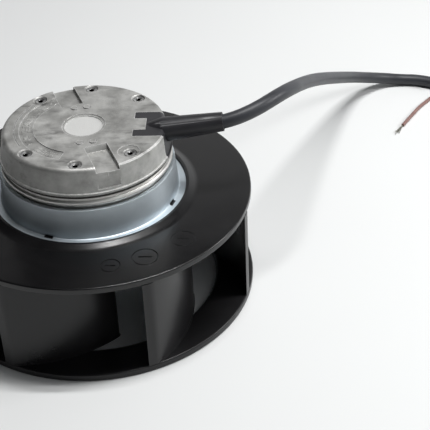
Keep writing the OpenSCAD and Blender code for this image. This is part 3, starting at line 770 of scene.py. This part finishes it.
reshaping = {"back_plate": shapePlate, "electronics_cover": shapeCover}
rims = {
    "back_plate": {"radius": 95.0, "corner": 0.9, "low": 62.8, "high": 66.9, "steps": 6},
    "inlet_ring": {"radius": 95.0, "corner": 0.9, "low": 0.0, "high": 4.4, "steps": 6},
}
crispRings = {"back_plate": {"inner": 56.0, "outer": 63.5, "degrees": 15.0}}
softPieces = [
    ("electronics_cover", "coverCasting", "coverSkin", 0.45, "stator", "cast_aluminium"),
    ("stator_flange", "flangeCasting", "turnedAluminium", 0.25, "stator", "cast_aluminium"),
    ("cable_gland", "glandPlug", "glandPlastic", 0.3, "stator", "black_plastic"),
    ("wheel_collar", "collarSheet", "zincSheet", 0.2, "rotor", "zinc_sheet"),
    ("back_plate", "wheelPlate", "wheelPlastic", 0.25, "rotor", "black_plastic"),
    ("inlet_ring", "wheelRing", "bladePlastic", 0.2, "rotor", "black_plastic"),
]
for node, pieceName, finish, edge, body, slot in softPieces:
    piece = softCopy(node, pieceName, finishes[finish], edge * mm, reshape=reshaping.get(node),
                     rim=rims.get(node), crisp=crispRings.get(node))
    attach(piece, body)
    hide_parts(node)
print("softened pieces made:", len(softPieces))


# node trees for what repeats: the blades, the cover screws and the strands of the leads
def geometryTree(name, inputs):
    tree = bpy.data.node_groups.new(name, "GeometryNodeTree")
    tree.interface.new_socket("Geometry", in_out="INPUT", socket_type="NodeSocketGeometry")
    for label, kind in inputs.items():
        tree.interface.new_socket(label, in_out="INPUT", socket_type="NodeSocket" + kind)
    tree.interface.new_socket("Geometry", in_out="OUTPUT", socket_type="NodeSocketGeometry")
    return tree, tree.nodes.new("NodeGroupInput").outputs, tree.nodes.new("NodeGroupOutput").inputs


def addNode(tree, kind, links, **settings):
    node = tree.nodes.new(kind)
    for label, value in settings.items():
        setattr(node, label, value)
    for label, value in links.items():
        if isinstance(value, bpy.types.NodeSocket):
            tree.links.new(value, node.inputs[label])
        else:
            node.inputs[label].default_value = value
    return node.outputs


def closeTree(tree, geometry, material, out):
    real = addNode(tree, "GeometryNodeRealizeInstances", {"Geometry": geometry})["Geometry"]
    painted = addNode(tree, "GeometryNodeSetMaterial", {"Geometry": real, "Material": material})
    tree.links.new(painted["Geometry"], out)


def makeRingArray():
    inputs = {"Count": "Int", "Step": "Float", "Skip Every": "Int", "Material": "Material"}
    tree, ins, outs = geometryTree("ringArray", inputs)
    points = addNode(tree, "GeometryNodePoints", {"Count": ins["Count"]})["Points"]
    index = addNode(tree, "GeometryNodeInputIndex", {})["Index"]
    angle = times(tree, index, ins["Step"])
    turn = addNode(tree, "ShaderNodeCombineXYZ", {"Z": angle})["Vector"]
    spin = addNode(tree, "FunctionNodeEulerToRotation", {"Euler": turn})["Rotation"]
    shown = mathNode(tree, "MODULO", mathNode(tree, "ADD", index, 1.0), ins["Skip Every"])
    copies = addNode(tree, "GeometryNodeInstanceOnPoints", {
        "Points": points, "Instance": ins["Geometry"], "Rotation": spin, "Selection": shown,
    })
    closeTree(tree, copies["Instances"], ins["Material"], outs["Geometry"])
    return tree


spray = {
    "points": 14, "sides": 7, "low": (-1.0, -1.0, -0.35), "high": (1.0, 1.0, 0.35),
    "bend": 1.6, "atRoot": 0.3,
}


def makeStrandSpray():
    # loose strands that spread towards their ends
    inputs = {"Strands": "Int", "Spread": "Float", "Radius": "Float", "Seed": "Int", "Material": "Material"}
    tree, ins, outs = geometryTree("strandSpray", inputs)
    line = addNode(tree, "GeometryNodeMeshToCurve", {"Mesh": ins["Geometry"]})["Curve"]
    line = addNode(tree, "GeometryNodeResampleCurve", {"Curve": line, "Count": spray["points"]})["Curve"]
    copies = {"Geometry": line, "Amount": ins["Strands"]}
    many = addNode(tree, "GeometryNodeDuplicateElements", copies, domain="SPLINE")["Geometry"]
    which = addNode(tree, "GeometryNodeInputIndex", {})["Index"]
    splineOf = addNode(tree, "GeometryNodeFieldOnDomain", {}, domain="CURVE", data_type="INT")
    tree.links.new(which, splineOf[0].node.inputs[0])
    limits = {"Min": spray["low"], "Max": spray["high"], "ID": splineOf[0], "Seed": ins["Seed"]}
    away = addNode(tree, "FunctionNodeRandomValue", limits, data_type="FLOAT_VECTOR")["Value"]
    along = addNode(tree, "GeometryNodeSplineParameter", {})["Factor"]
    bend = mathNode(tree, "POWER", along, spray["bend"])
    reach = times(tree, mathNode(tree, "ADD", bend, spray["atRoot"]), ins["Spread"])
    shift = addNode(tree, "ShaderNodeVectorMath", {"Scale": reach}, operation="SCALE")
    tree.links.new(away, shift[0].node.inputs[0])
    moved = {"Geometry": many, "Offset": shift["Vector"]}
    loose = addNode(tree, "GeometryNodeSetPosition", moved)["Geometry"]
    circle = {"Radius": ins["Radius"], "Resolution": spray["sides"]}
    wire = addNode(tree, "GeometryNodeCurvePrimitiveCircle", circle)["Curve"]
    sweep = {"Curve": loose, "Profile Curve": wire, "Fill Caps": True}
    tubes = addNode(tree, "GeometryNodeCurveToMesh", sweep)["Mesh"]
    closeTree(tree, tubes, ins["Material"], outs["Geometry"])
    return tree


def growTree(piece, tree, values):
    grow = piece.modifiers.new(tree.name, "NODES")
    grow.node_group = tree
    for socket in tree.interface.items_tree:
        if socket.in_out == "INPUT" and socket.name in values:
            grow[socket.identifier] = values[socket.name]
    bakeModifiers(piece)


ringArray = makeRingArray()
wheel = {"blades": 7, "edge": 0.2 * mm, "noGap": 100}
wheelBlades = softCopy("blade_1", "wheelBlades", finishes["bladePlastic"], wheel["edge"])
growTree(wheelBlades, ringArray, {
    "Count": wheel["blades"], "Step": math.tau / wheel["blades"], "Skip Every": wheel["noGap"],
    "Material": finishes["bladePlastic"],
})
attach(wheelBlades, "rotor")
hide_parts(*[f"blade_{k}" for k in range(1, 8)])

screws = {"places": 8, "gapEvery": 4, "edge": 0.12 * mm, "quarter": 0.01}
screwSet = softCopy("cover_screws", "screwSet", finishes["screwSteel"], screws["edge"],
                    keep=lambda place: min(place.x, place.y) > screws["quarter"])
growTree(screwSet, ringArray, {
    "Count": screws["places"], "Step": math.tau / screws["places"], "Skip Every": screws["gapEvery"],
    "Material": finishes["screwSteel"],
})
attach(screwSet, "stator")
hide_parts("cover_screws")

strands = {"count": 9, "spread": 1.3 * mm, "radius": 0.17 * mm, "seed": 4, "perSpan": 3}
strandPoints = []
strandJoins = []
for end in ("brownEnd", "blueEnd", "earthEnd"):
    line = smoothRoute(leads[end], strands["perSpan"])
    first = len(strandPoints)
    strandPoints += line
    strandJoins += [(k, k + 1) for k in range(first, first + len(line) - 1)]
strandMesh = bpy.data.meshes.new("leadStrands")
strandMesh.from_pydata(strandPoints, strandJoins, [])
leadStrands = putInScene("leadStrands", strandMesh)
growTree(leadStrands, makeStrandSpray(), {
    "Strands": strands["count"], "Spread": strands["spread"], "Radius": strands["radius"],
    "Seed": strands["seed"], "Material": finishes["tinnedWire"],
})
leadStrands.data.shade_smooth()
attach(leadStrands, "stator")
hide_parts("lead_ends")
print("blades, screws and strands grown")


# finishes for the solids that stay
keptFinish = {
    "cover_gasket": "gasketRubber", "circuit_board": "boardLacquer", "capacitors": "moduleBlack",
    "choke": "copperWire", "power_module": "moduleBlack", "terminal_block": "moduleBlack",
    "stator_core": "stackedSteel", "upper_insulator": "slotLiner", "lower_insulator": "slotLiner",
    "stator_windings": "copperWire", "upper_outer_ring": "groundSteel", "lower_outer_ring": "groundSteel",
    "preload_spring": "groundSteel", "rotor_can": "zincSheet", "rotor_magnets": "sinteredMagnet",
    "shaft": "groundSteel", "shaft_circlip": "groundSteel", "upper_inner_ring": "groundSteel",
    "lower_inner_ring": "groundSteel", "upper_balls": "groundSteel", "lower_balls": "groundSteel",
    "upper_cage": "pressedBrass", "lower_cage": "pressedBrass",
}
for node, finish in keptFinish.items():
    paint(cadNodes[node], finishes[finish])
print("finishes on kept solids:", len(keptFinish))
